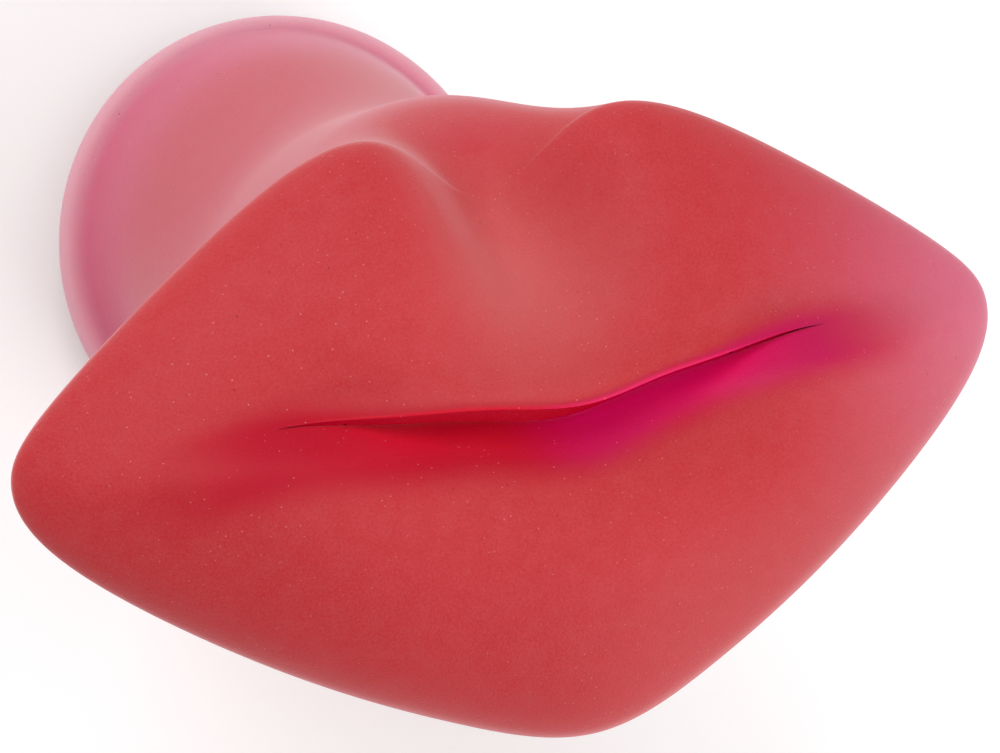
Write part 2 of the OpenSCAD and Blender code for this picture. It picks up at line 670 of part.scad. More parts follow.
// ---- Leads inside the telephone
receiver_route = [[-52, -36, 156.6], [-52, -36, 151], [-50, -35, 148], [-38, -34, 147],
    [-27, -32, 149], [-24, -31, 154], [-23.5, -31, 157.4], [-19, -31, 158.4], [-13, -31, 158.4],
    [-8, -31, 157], [-4, -30, 152], [-4, -24, 125], [-4, -14, 85], [-5, -6, 50], [-6, -3, 38],
    [-6, 0, 31.5]];
microphone_route = [for (p = receiver_route) [-p[0], p[1], p[2]]];
module receiver_lead() { color([0.75, 0.1, 0.1]) wire(receiver_route, 0.8); }
module microphone_lead() { color([0.85, 0.85, 0.85]) wire(microphone_route, 0.8); }
module line_lead() {
    color([0.1, 0.1, 0.6]) wire([[0, jack_back - jack_d - 0.1, 12.5], [0, 26, 12.6], [0, 22, 12.7],
        [0, 17, 12.8], [0, 13, 14], [0, 11, 17], [0, 11, 19.5], [0, 11, main_z - 0.1]], 0.9);
}

module on_desk() { translate([0, foot_y, 0]) children(); }

on_desk() lips_skin();
on_desk() mouth_screen();
on_desk() head_frame();
on_desk() receiver_capsule();
on_desk() receiver_gasket();
on_desk() microphone_capsule();
on_desk() microphone_boot();
on_desk() foam_sleeve();
on_desk() spine_tube();
on_desk() spine_foot();
on_desk() spine_screws();
on_desk() ballast_weight();
on_desk() skin_clamp_ring();
on_desk() base_housing();
on_desk() keypad_cover();
on_desk() cover_screws();
on_desk() rubber_feet();
for (k = number_keys()) on_desk() number_key(k);
for (k = side_keys) on_desk() side_key(k);
on_desk() dome_sheet();
on_desk() keypad_board();
on_desk() board_screws();
on_desk() main_board();
on_desk() board_parts();
on_desk() line_transformer();
on_desk() ringer_disc();
on_desk() hook_switch();
on_desk() hook_plunger();
on_desk() plunger_spring();
on_desk() slide_switch(-1);  // ringer_switch
on_desk() slide_knob(-1);  // ringer_knob
on_desk() slide_switch(1);  // tone_switch
on_desk() slide_knob(1);  // tone_knob
on_desk() line_jack();
on_desk() receiver_lead();
on_desk() microphone_lead();
on_desk() line_lead();
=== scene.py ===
import json
import math

import bmesh
import bpy
import numpy as np
from mathutils import Matrix, Vector

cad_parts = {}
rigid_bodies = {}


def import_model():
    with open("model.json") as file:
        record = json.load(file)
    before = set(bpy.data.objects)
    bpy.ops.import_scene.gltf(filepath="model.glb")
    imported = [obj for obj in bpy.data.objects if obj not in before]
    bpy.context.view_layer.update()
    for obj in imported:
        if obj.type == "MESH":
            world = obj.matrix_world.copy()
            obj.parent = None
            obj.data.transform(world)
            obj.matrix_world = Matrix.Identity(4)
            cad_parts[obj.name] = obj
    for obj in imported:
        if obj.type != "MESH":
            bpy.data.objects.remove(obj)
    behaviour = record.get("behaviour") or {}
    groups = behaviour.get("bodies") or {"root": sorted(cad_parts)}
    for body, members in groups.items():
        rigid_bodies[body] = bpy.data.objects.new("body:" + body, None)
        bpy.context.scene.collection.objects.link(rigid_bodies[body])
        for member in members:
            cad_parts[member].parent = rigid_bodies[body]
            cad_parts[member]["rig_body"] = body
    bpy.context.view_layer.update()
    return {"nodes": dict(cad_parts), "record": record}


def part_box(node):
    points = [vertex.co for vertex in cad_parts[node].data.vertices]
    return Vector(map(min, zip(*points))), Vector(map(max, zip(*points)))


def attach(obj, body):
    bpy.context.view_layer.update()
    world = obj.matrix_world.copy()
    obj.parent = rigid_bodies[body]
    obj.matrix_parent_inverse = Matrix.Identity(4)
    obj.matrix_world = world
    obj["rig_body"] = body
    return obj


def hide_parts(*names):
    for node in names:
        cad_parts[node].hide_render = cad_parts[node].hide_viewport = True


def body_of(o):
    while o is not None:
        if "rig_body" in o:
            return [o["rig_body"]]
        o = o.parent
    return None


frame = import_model()
MM = 0.001

# ---------------------------------------------------------------- driving sizes, in mm
RIM_HEIGHT = 160.0                      # edge of the lips, over the desk
HEAD_LEAN = 31.0                        # how far the lips stand forward of the foot
HEAD_START = RIM_HEIGHT - 39.0          # where the neck begins to open into the lips
EDGE_R = 9.5                            # roll of the lips' outer edge
UPPER_FULL = 17.0                       # rise of the upper lip over its edge
LOWER_FULL = 26.0
CORNER_FULL = 8.0
CREASE_DEPTH = 17.0                     # fold between the lips
BOW_WIDTH = 15.0                        # dip in the middle of the upper lip
BOW_DROP = 9.0
VALLEY_DEPTH = 14.0
SLIT_HALF = 52.0                        # half the length of the mouth's slit
SLIT_GAP = 2.4
SKIN_T = 3.5
NECK_HALF = 47.0
NECK_OVAL = 1.18
NECK_Z = 96.0                           # height of the neck's waist
WAIST = 4.5
BASE_H = 16.0                           # underside of the skin, where the base begins
FOOT_R = 53.5
FOOT_LIP_H = 6.0
FOOT_EDGE = FOOT_R - FOOT_LIP_H / 2
LIP_REACH = 95.0
LIP_RIGHT = [(0, 23), (19, 56), (55.5, 35), (90, 9.5), (97, 0), (92, -15), (53.5, -43.5),
             (23.5, -58.5), (0, -68)]
LOWER_REACH = -(2 * LIP_RIGHT[7][1] + 4 * LIP_RIGHT[8][1]) / 6
FOOT_Y = (HEAD_LEAN + LOWER_REACH - FOOT_R) / 2

# Steps of the hole in the skin's foot that holds the clamp ring: radius, height
BORE_STEPS = ((41, 34), (41, 30), (37.5, 30), (37.5, 27), (41, 27), (41, BASE_H))
SKIN_SIDES = 384
INNER_NECK_TURN = math.radians(56.25)   # where the neck's inner wall meets the bore

KEY_FACE_Z = 1.2                        # rim of a key's face, over the desk
DISH_R = 40.0                           # sphere that dishes a key's face
DISH_MIDDLE = 39.6
LEGEND_SIZE = 5.2

# Small lengths in metres, as Blender's own tools take them
INK_T = 0.00003
INK_LIFT = 0.00002
LONG_EDGE = 0.0008
WELD_GAP = 0.00001
FOAM_VOXEL = 0.003


# ---------------------------------------------------------------- camera, light and floor
def place_camera():
    """Looks down at the lips from the left, past the lower lip, with a long lens."""
    azimuth, elevation, roll = (math.radians(angle) for angle in (-20.3, 3.8, -9.5))
    distance = 448.0
    aim = Vector((-6.0, 2.0 - HEAD_LEAN + FOOT_Y, RIM_HEIGHT))
    back = Vector((math.sin(azimuth) * math.cos(elevation), math.sin(elevation),
                   math.cos(azimuth) * math.cos(elevation)))
    right = Vector((0, 1, 0)).cross(back).normalized()
    up = back.cross(right)
    right, up = (math.cos(roll) * right + math.sin(roll) * up,
                 -math.sin(roll) * right + math.cos(roll) * up)
    lens = bpy.data.cameras.new("camera")
    lens.lens = 90
    lens.sensor_width = 36
    lens.clip_start = 0.01
    camera = bpy.data.objects.new("camera", lens)
    bpy.context.scene.collection.objects.link(camera)
    pose = Matrix((right, up, back)).transposed().to_4x4()
    pose.translation = (aim + back * distance) * MM
    camera.matrix_world = pose
    bpy.context.scene.camera = camera


def area_light(name, place, aim, size, power):
    """A round softbox, with its place and size in metres."""
    light = bpy.data.lights.new(name, "AREA")
    light.shape = "DISK"
    light.size = size
    light.energy = power
    lamp = bpy.data.objects.new(name, light)
    lamp.location = place
    lamp.rotation_euler = (Vector(aim) - Vector(place)).to_track_quat("-Z", "Y").to_euler()
    bpy.context.scene.collection.objects.link(lamp)


def light_the_studio():
    """Three softboxes and a white sky, shown without a film look."""
    middle = (0, 0, 0.12)
    area_light("key_softbox", (-0.35, 0.75, 0.95), middle, 0.8, 6.5)
    area_light("fill_softbox", (0.6, -0.7, 0.6), middle, 0.9, 5)
    area_light("top_softbox", (0.1, 0.0, 1.3), middle, 1.2, 3.2)
    world = bpy.data.worlds.new("studio")
    bpy.context.scene.world = world
    world.use_nodes = True
    sky = world.node_tree.nodes["Background"]
    sky.inputs["Color"].default_value = (1, 1, 1, 1)
    sky.inputs["Strength"].default_value = 0.42
    bpy.context.scene.view_settings.view_transform = "Standard"


def lay_floor():
    """A wide disc of white paper."""
    bm = bmesh.new()
    bmesh.ops.create_circle(bm, cap_ends=True, segments=96, radius=4)
    floor = add_mesh("floor", bm)
    floor.data.materials.append(floor_paper())


# ---------------------------------------------------------------- mesh helpers
def show_mesh(name, mesh):
    piece = bpy.data.objects.new(name, mesh)
    bpy.context.scene.collection.objects.link(piece)
    return piece


def add_mesh(name, bm):
    mesh = bpy.data.meshes.new(name)
    bm.to_mesh(mesh)
    bm.free()
    return show_mesh(name, mesh)


def ring_mesh(name, rings):
    """A closed mesh through a stack of rings of points, in mm; the last joins the first."""
    count, sides = rings.shape[:2]
    faces = []
    for i in range(count):
        j = np.arange(sides)
        k = (j + 1) % sides
        a, b = i * sides, ((i + 1) % count) * sides
        faces.append(np.stack([a + j, a + k, b + k, b + j], 1))
    mesh = bpy.data.meshes.new(name)
    points = (rings.reshape(-1, 3) * MM).tolist()
    mesh.from_pydata(points, [], np.concatenate(faces).tolist())
    mesh.shade_smooth()
    mesh.update()
    return show_mesh(name, mesh)


def welded_shape(node):
    """A CAD node's own shape, with its doubled points joined."""
    bm = bmesh.new()
    bm.from_mesh(frame["nodes"][node].data)
    bmesh.ops.remove_doubles(bm, verts=bm.verts, dist=WELD_GAP)
    return bm


def round_edges(piece, width):
    softener = piece.modifiers.new("soft_edges", "BEVEL")
    softener.width = width * MM
    softener.segments = 3
    softener.limit_method = "ANGLE"
    softener.angle_limit = math.radians(32)
    apply_modifiers(piece)
    piece.data.shade_smooth()
    piece.data.set_sharp_from_angle(angle=math.radians(40))


def apply_modifiers(piece):
    """Puts the shape that the modifiers make in place of the mesh."""
    graph = bpy.context.evaluated_depsgraph_get()
    shaped = bpy.data.meshes.new_from_object(piece.evaluated_get(graph))
    piece.modifiers.clear()
    piece.data = shaped


def moulded_copy(node, width, material):
    """Stands for a CAD node, with its sharp edges rounded as a mould leaves them."""
    bm = welded_shape(node)
    bmesh.ops.dissolve_limit(bm, angle_limit=math.radians(1), verts=bm.verts, edges=bm.edges)
    piece = add_mesh(node + "_moulded", bm)
    piece.data.materials.clear()
    round_edges(piece, width)
    piece.data.materials.append(material)
    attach(piece, body_of(frame["nodes"][node])[0])
    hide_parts(node)
    return piece


# ---------------------------------------------------------------- shared shader groups
def socket_group(name, inputs, outputs):
    """An empty node group with named sockets, and its two end nodes."""
    group = bpy.data.node_groups.new(name, "ShaderNodeTree")
    for label, kind, value in inputs:
        socket = group.interface.new_socket(label, in_out="INPUT", socket_type=kind)
        socket.default_value = value
    for label, kind in outputs:
        group.interface.new_socket(label, in_out="OUTPUT", socket_type=kind)
    entry = group.nodes.new("NodeGroupInput")
    leave = group.nodes.new("NodeGroupOutput")
    return group, entry, leave


def feed(tree, socket, value):
    """Gives a socket a number, a colour of three numbers, or another socket's output."""
    if isinstance(value, (int, float)):
        socket.default_value = value
    elif isinstance(value, tuple):
        socket.default_value = (*value, 1)
    else:
        tree.links.new(value, socket)


def maths(tree, operation, a, b, clamp=False):
    node = tree.nodes.new("ShaderNodeMath")
    node.operation = operation
    node.use_clamp = clamp
    feed(tree, node.inputs[0], a)
    feed(tree, node.inputs[1], b)
    return node.outputs[0]


def mix_colour(tree, factor, a, b):
    node = tree.nodes.new("ShaderNodeMix")
    node.data_type = "RGBA"
    for place, value in ((0, factor), (6, a), (7, b)):
        feed(tree, node.inputs[place], value)
    return node.outputs[2]


def noise(tree, where, scale, detail=3, roughness=0.5):
    node = tree.nodes.new("ShaderNodeTexNoise")
    node.inputs["Detail"].default_value = detail
    node.inputs["Roughness"].default_value = roughness
    tree.links.new(where, node.inputs["Vector"])
    feed(tree, node.inputs["Scale"], scale)
    return node.outputs["Fac"]


def step_range(tree, value, low, high):
    """0 below low, 1 above high and a straight ramp between."""
    node = tree.nodes.new("ShaderNodeMapRange")
    node.inputs["From Min"].default_value = low
    node.inputs["From Max"].default_value = high
    tree.links.new(value, node.inputs["Value"])
    return node.outputs["Result"]


def object_place(tree):
    return tree.nodes.new("ShaderNodeTexCoord").outputs["Object"]


def make_mould_grain():
    """Fine relief that a blasted mould leaves on rubber and plastic."""
    group, entry, leave = socket_group(
        "mould_grain",
        [("Scale", "NodeSocketFloat", 2500.0), ("Coarse Share", "NodeSocketFloat", 0.35)],
        [("Height", "NodeSocketFloat")])
    where = object_place(group)
    fine = noise(group, where, entry.outputs["Scale"], 2, 0.6)
    coarse = noise(group, where, maths(group, "MULTIPLY", entry.outputs["Scale"], 0.12), 3)
    share = entry.outputs["Coarse Share"]
    rest = maths(group, "SUBTRACT", 1.0, share)
    total = maths(group, "ADD", maths(group, "MULTIPLY", fine, rest),
                  maths(group, "MULTIPLY", coarse, share))
    group.links.new(total, leave.inputs["Height"])
    return group


def make_settled_dust():
    """Pale specks of dust, each a small round spot, thinned out by a slow pattern."""
    group, entry, leave = socket_group(
        "settled_dust",
        [("Spots Per Metre", "NodeSocketFloat", 700.0), ("Spot Size", "NodeSocketFloat", 0.16),
         ("Cover", "NodeSocketFloat", 0.3)],
        [("Mask", "NodeSocketFloat")])
    where = object_place(group)
    cells = group.nodes.new("ShaderNodeTexVoronoi")
    group.links.new(where, cells.inputs["Vector"])
    group.links.new(entry.outputs["Spots Per Metre"], cells.inputs["Scale"])
    spot = maths(group, "LESS_THAN", cells.outputs["Distance"], entry.outputs["Spot Size"])
    chance = group.nodes.new("ShaderNodeSeparateColor")
    group.links.new(cells.outputs["Color"], chance.inputs["Color"])
    kept = maths(group, "LESS_THAN", chance.outputs[0], entry.outputs["Cover"])
    patch = step_range(group, noise(group, where, 25.0), 0.35, 0.65)
    mask = maths(group, "MULTIPLY", maths(group, "MULTIPLY", spot, kept), patch)
    group.links.new(mask, leave.inputs["Mask"])
    return group


def make_rubbed_edge():
    """Mask of the edges that hands and desks rub, broken up by a fine pattern."""
    group, entry, leave = socket_group(
        "rubbed_edge",
        [("Strength", "NodeSocketFloat", 0.5), ("Break Up", "NodeSocketFloat", 300.0)],
        [("Mask", "NodeSocketFloat")])
    shape = group.nodes.new("ShaderNodeNewGeometry")
    edge = step_range(group, shape.outputs["Pointiness"], 0.52, 0.6)
    broken = step_range(group, noise(group, object_place(group), entry.outputs["Break Up"]),
                        0.3, 0.7)
    mask = maths(group, "MULTIPLY", maths(group, "MULTIPLY", edge, broken),
                 entry.outputs["Strength"], clamp=True)
    group.links.new(mask, leave.inputs["Mask"])
    return group


def make_tone_drift():
    """Slow change between two tones of one colour."""
    group, entry, leave = socket_group(
        "tone_drift",
        [("Tone", "NodeSocketColor", (0.5, 0.5, 0.5, 1)),
         ("Other Tone", "NodeSocketColor", (0.5, 0.5, 0.5, 1)),
         ("Scale", "NodeSocketFloat", 30.0)],
        [("Color", "NodeSocketColor")])
    share = step_range(group, noise(group, object_place(group), entry.outputs["Scale"], 4),
                       0.3, 0.7)
    colour = mix_colour(group, share, entry.outputs["Tone"], entry.outputs["Other Tone"])
    group.links.new(colour, leave.inputs["Color"])
    return group


GRAIN = make_mould_grain()
DUST = make_settled_dust()
RUBBED = make_rubbed_edge()
DRIFT = make_tone_drift()


# ---------------------------------------------------------------- material helpers
def new_material(name):
    material = bpy.data.materials.new(name)
    material.use_nodes = True
    tree = material.node_tree
    return material, tree, tree.nodes["Principled BSDF"]


def use_group(tree, group, **values):
    node = tree.nodes.new("ShaderNodeGroup")
    node.node_tree = group
    for label, value in values.items():
        feed(tree, node.inputs[label.replace("_", " ")], value)
    return node


def tone_of(tree, tone, other, scale):
    return use_group(tree, DRIFT, Tone=tone, Other_Tone=other, Scale=scale).outputs["Color"]


def dusted(tree, body, colour, per_metre, size, cover, strength):
    """Lays specks of one colour over the body colour; size is a share of their spacing."""
    dust = use_group(tree, DUST, Spots_Per_Metre=per_metre, Spot_Size=size, Cover=cover)
    share = maths(tree, "MULTIPLY", dust.outputs["Mask"], strength)
    return mix_colour(tree, share, body, colour)


def grained(tree, shader, scale, coarse, swing, roughness, depth, strength):
    """Mould grain in the gloss, which it swings, and in the surface, as fine relief."""
    grain = use_group(tree, GRAIN, Scale=scale, Coarse_Share=coarse).outputs["Height"]
    gloss = maths(tree, "ADD", maths(tree, "MULTIPLY", grain, swing), roughness)
    tree.links.new(gloss, shader.inputs["Roughness"])
    bump(tree, shader, grain, depth, strength)
    return grain


def bump(tree, shader, height, distance, strength):
    node = tree.nodes.new("ShaderNodeBump")
    node.inputs["Distance"].default_value = distance
    node.inputs["Strength"].default_value = strength
    tree.links.new(height, node.inputs["Height"])
    tree.links.new(node.outputs["Normal"], shader.inputs["Normal"])


def stored(tree, name):
    """A mask that the mesh carries at its points."""
    node = tree.nodes.new("ShaderNodeAttribute")
    node.attribute_name = name
    return node.outputs["Fac"]


def floor_paper():
    """White paper with a little light of its own, so that it stays pale to its edge."""
    material, tree, shader = new_material("floor_paper")
    tone = tone_of(tree, (0.96, 0.96, 0.96), (0.98, 0.98, 0.975), 3.0)
    tree.links.new(tone, shader.inputs["Base Color"])
    shader.inputs["Roughness"].default_value = 0.9
    shader.inputs["Emission Color"].default_value = (1, 1, 1, 1)
    shader.inputs["Emission Strength"].default_value = 0.1
    return material


def soft_vinyl():
    """Matt translucent red vinyl: painted shade in crimson deep in the mouth with a painted glow,
    pinker with painted light where light comes through, and painted highlights on its outline,
    the bow and the foot's rim.
    """
    material, tree, shader = new_material("soft_vinyl")
    body = tone_of(tree, (0.56, 0.026, 0.034), (0.52, 0.022, 0.029), 16.0)
    # Painted light coming through the vinyl on the neck, the right tip and the foot, and a
    # painted sheen on the bow.
    for mask, paler in (("neck_light_through", (0.6, 0.105, 0.135)), ("thin_edge_light", (0.69, 0.15, 0.26)),
                        ("painted_bow_sheen", (0.72, 0.24, 0.23))):
        body = mix_colour(tree, stored(tree, mask), body, paler)
    mouth, magenta = stored(tree, "mouth_depth"), stored(tree, "mouth_glow")
    # Painted shade: crimson deep in the fold, turning magenta with painted light coming through
    # at the right.
    crimson = mix_colour(tree, magenta, (0.5, 0.0, 0.018), (0.54, 0.0, 0.085))
    body = mix_colour(tree, mouth, body, crimson)
    # Painted glow: the heart of the fold gives light of its own.
    lit = mix_colour(tree, magenta, (0.2, 0.0, 0.006), (0.3, 0.0, 0.045))
    glow = mix_colour(tree, stored(tree, "mouth_heart"), (0.0, 0.0, 0.0), lit)
    tree.links.new(glow, shader.inputs["Emission Color"])
    # Painted highlights: the outline paler where the surface turns from the camera, and the
    # foot's rim paler against its shade.
    facing = tree.nodes.new("ShaderNodeLayerWeight")
    facing.inputs["Blend"].default_value = 0.35
    outline = step_range(tree, facing.outputs["Facing"], 0.5, 0.95)
    pale = maths(tree, "MAXIMUM", maths(tree, "MULTIPLY", outline, 0.25),
                 maths(tree, "MULTIPLY", stored(tree, "foot_edge"), 0.55))
    body = mix_colour(tree, pale, body, (0.86, 0.6, 0.66))
    finish_vinyl(tree, shader, body, maths(tree, "SUBTRACT", 1.0, mouth))
    return material


def screen_vinyl():
    """The same vinyl in plain crimson, for the strip behind the mouth's slit, with a painted glow
    of its own.
    """
    material, tree, shader = new_material("screen_vinyl")
    # Painted glow: the screen gives crimson light of its own so that the slit does not show dark.
    shader.inputs["Emission Color"].default_value = (0.3, 0.0, 0.01, 1)
    body = tone_of(tree, (0.5, 0.0, 0.03), (0.44, 0.0, 0.016), 60.0)
    finish_vinyl(tree, shader, body, 1.0)
    return material


def finish_vinyl(tree, shader, body, outside):
    """Grain, dust and small dark marks, then the softness that light has inside the vinyl."""
    grain = grained(tree, shader, scale=2300.0, coarse=0.3, swing=0.2, roughness=0.45,
                    depth=0.0002, strength=0.8)
    shade = maths(tree, "MULTIPLY", step_range(tree, grain, 0.35, 0.75), outside)
    body = mix_colour(tree, maths(tree, "MULTIPLY", shade, 0.07), body, (0.95, 0.5, 0.5))
    body = dusted(tree, body, (0.95, 0.7, 0.68), per_metre=760.0, size=0.1, cover=0.5,
                  strength=0.3)
    body = dusted(tree, body, (0.2, 0.004, 0.012), per_metre=310.0, size=0.07, cover=0.3,
                  strength=0.6)
    tree.links.new(body, shader.inputs["Base Color"])
    # Strength of the painted glow that the emission colour carries.
    shader.inputs["Emission Strength"].default_value = 1.0
    shader.inputs["Subsurface Weight"].default_value = 0.5
    shader.inputs["Subsurface Radius"].default_value = (1.0, 0.25, 0.3)
    shader.inputs["Subsurface Scale"].default_value = 0.003
    shader.inputs["Specular IOR Level"].default_value = 0.24
    shader.inputs["Sheen Weight"].default_value = 0.16
    shader.inputs["Sheen Roughness"].default_value = 0.4
    shader.inputs["Sheen Tint"].default_value = (1.0, 0.82, 0.82, 1)


def moulded_plastic(name, tone, other, roughness=0.42, wear=0.35):
    """Hard plastic with mould grain, edges rubbed paler and a little dust."""
    material, tree, shader = new_material(name)
    rubbed = use_group(tree, RUBBED, Strength=wear, Break_Up=700.0).outputs["Mask"]
    paler = tuple(min(1.0, c * 1.35 + 0.05) for c in tone)
    body = mix_colour(tree, rubbed, tone_of(tree, tone, other, 40.0), paler)
    body = dusted(tree, body, (0.8, 0.78, 0.75), per_metre=900.0, size=0.1, cover=0.15,
                  strength=0.3)
    tree.links.new(body, shader.inputs["Base Color"])
    grained(tree, shader, scale=1800.0, coarse=0.25, swing=0.18, roughness=roughness - 0.09,
            depth=0.00006, strength=0.5)
    return material


def dull_rubber(name, tone, other):
    """Matt rubber or foam, which holds more dust."""
    material, tree, shader = new_material(name)
    body = tone_of(tree, tone, other, 60.0)
    body = dusted(tree, body, (0.5, 0.48, 0.46), per_metre=1200.0, size=0.14, cover=0.4,
                  strength=0.35)
    tree.links.new(body, shader.inputs["Base Color"])
    grained(tree, shader, scale=1500.0, coarse=0.5, swing=0.2, roughness=0.62,
            depth=0.0001, strength=0.6)
    return material


def worked_metal(name, tone, other, roughness):
    """Drawn, turned or stamped metal."""
    material, tree, shader = new_material(name)
    tree.links.new(tone_of(tree, tone, other, 90.0), shader.inputs["Base Color"])
    shader.inputs["Metallic"].default_value = 1.0
    grained(tree, shader, scale=900.0, coarse=0.5, swing=0.2, roughness=roughness - 0.1,
            depth=0.00003, strength=0.5)
    return material


MATERIALS = {
    "soft_vinyl": soft_vinyl(),
    "screen": screen_vinyl(),
    "frame_plastic": moulded_plastic("frame_plastic", (0.03, 0.03, 0.032), (0.045, 0.045, 0.047)),
    "capsule_plastic": moulded_plastic("capsule_plastic", (0.02, 0.02, 0.021),
                                       (0.03, 0.03, 0.03), 0.5),
    "black_rubber": dull_rubber("black_rubber", (0.015, 0.015, 0.015), (0.025, 0.024, 0.023)),
    "capsule_metal": worked_metal("capsule_metal", (0.75, 0.75, 0.77), (0.6, 0.6, 0.62), 0.3),
    "foam": dull_rubber("open_foam", (0.72, 0.6, 0.3), (0.62, 0.5, 0.24)),
    "tube_aluminium": worked_metal("tube_aluminium", (0.78, 0.79, 0.8), (0.66, 0.67, 0.69), 0.35),
    "screw_steel": worked_metal("screw_steel", (0.62, 0.62, 0.6), (0.5, 0.5, 0.48), 0.32),
    "ballast_steel": worked_metal("ballast_steel", (0.36, 0.35, 0.34), (0.25, 0.24, 0.23), 0.55),
    "base_plastic": moulded_plastic("base_plastic", (0.22, 0.008, 0.018), (0.19, 0.006, 0.014)),
    "dome_rubber": dull_rubber("dome_rubber", (0.62, 0.6, 0.54), (0.55, 0.53, 0.48)),
    "circuit_board": moulded_plastic("circuit_board", (0.01, 0.09, 0.03), (0.015, 0.12, 0.04),
                                     0.3),
    "component_plastic": moulded_plastic("component_plastic", (0.02, 0.02, 0.022),
                                         (0.03, 0.03, 0.03)),
    "transformer_tape": moulded_plastic("transformer_tape", (0.7, 0.45, 0.05),
                                        (0.6, 0.36, 0.04), 0.35),
    "ringer_brass": worked_metal("ringer_brass", (0.8, 0.55, 0.22), (0.65, 0.42, 0.16), 0.3),
    "spring_steel": worked_metal("spring_steel", (0.7, 0.7, 0.72), (0.58, 0.58, 0.6), 0.25),
    "switch_steel": worked_metal("switch_steel", (0.62, 0.62, 0.64), (0.5, 0.5, 0.52), 0.35),
    "key_plastic": moulded_plastic("key_plastic", (0.78, 0.74, 0.64), (0.72, 0.68, 0.57), 0.38),
    "side_key_plastic": moulded_plastic("side_key_plastic", (0.06, 0.055, 0.055),
                                        (0.045, 0.042, 0.042), 0.4),
    "lead_red": moulded_plastic("lead_red", (0.5, 0.01, 0.01), (0.4, 0.01, 0.01), 0.35),
    "lead_white": moulded_plastic("lead_white", (0.75, 0.75, 0.72), (0.68, 0.68, 0.64), 0.35),
    "lead_blue": moulded_plastic("lead_blue", (0.02, 0.04, 0.3), (0.015, 0.03, 0.22), 0.35),
}


# ---------------------------------------------------------------- the soft lips
def smooth(a, b, x):
    """0 up to a, 1 from b on, with an easy curve between."""
    t = np.clip((np.asarray(x, float) - a) / (b - a), 0, 1)
    return t * t * (3 - 2 * t)


def bell(x, width):
    return np.exp(-(np.asarray(x, float) / width) ** 2)


def mix(a, b, t):
    return a + (b - a) * t


def closed_spline(controls, count):
    """Points of a closed cubic B-spline round the controls."""
    controls = np.asarray(controls, float)
    u = np.arange(count) * len(controls) / count
    i, t = np.floor(u).astype(int), u - np.floor(u)
    weights = [(1 - t) ** 3, 3 * t ** 3 - 6 * t ** 2 + 4, -3 * t ** 3 + 3 * t ** 2 + 3 * t + 1,
               t ** 3]
    return sum(w[:, None] * controls[(i + k - 1) % len(controls)]
               for k, w in enumerate(weights)) / 6


def slit_line(x):
    """How far back the mouth's line lies at x."""
    return -1 - 3 * bell(x, BOW_WIDTH) + 2.4 * bell(np.abs(x) - 50, 17)


def slit_open(x):
    """Height of the slit at x."""
    return SLIT_GAP * np.clip(1 - (x / SLIT_HALF) ** 2, 0, None)


def crease(x, y):
    """Depth of the fold between the lips; the upper lip ends sharply, the lower one slopes in."""
    d = y - slit_line(x)
    along = 1 - smooth(0.4 * SLIT_HALF, 1.34 * SLIT_HALF, np.abs(x))
    open_part = smooth(SLIT_HALF, 0.4 * SLIT_HALF, np.abs(x))
    below = mix(0.5, 0.9, open_part) * np.exp(-(np.clip(-d, 0, None) / 13) ** 1.5)
    above = mix(0.5, 0.2, open_part) * np.exp(-(np.clip(d, 0, None)
                                                  / mix(9, 3, open_part)) ** 1.5)
    return CREASE_DEPTH * along * np.where(d < -0.01, below, above)


def bow(x, y):
    """How near a point of the edge is to the dip of the upper lip."""
    return bell(x, BOW_WIDTH) * smooth(8, 26, y)


def lip_height(x, y, w, soft):
    """Height of the lips over their rim; w runs from 0 at the edge to 1 at the mouth."""
    rise = 1 - (1 - w) ** 2.2
    dome = mix(math.sqrt(rise), rise, soft)
    side = np.clip(1 - (x / (1.02 * LIP_REACH)) ** 2, 0, None)
    full = mix(LOWER_FULL, UPPER_FULL, smooth(-6, 6, y))
    body = CORNER_FULL + (full - CORNER_FULL) * side ** 0.7
    valley = VALLEY_DEPTH * bell(x, BOW_WIDTH) * smooth(4, 38, y)
    peaks = 2 * w * bell(np.abs(x) - 34, 20) * bell(y - 24, 16)
    pout = 3 * w * bell(x, 42) * bell(y + 30, 16)
    return body * dome - valley * dome + peaks + pout - crease(x, y)


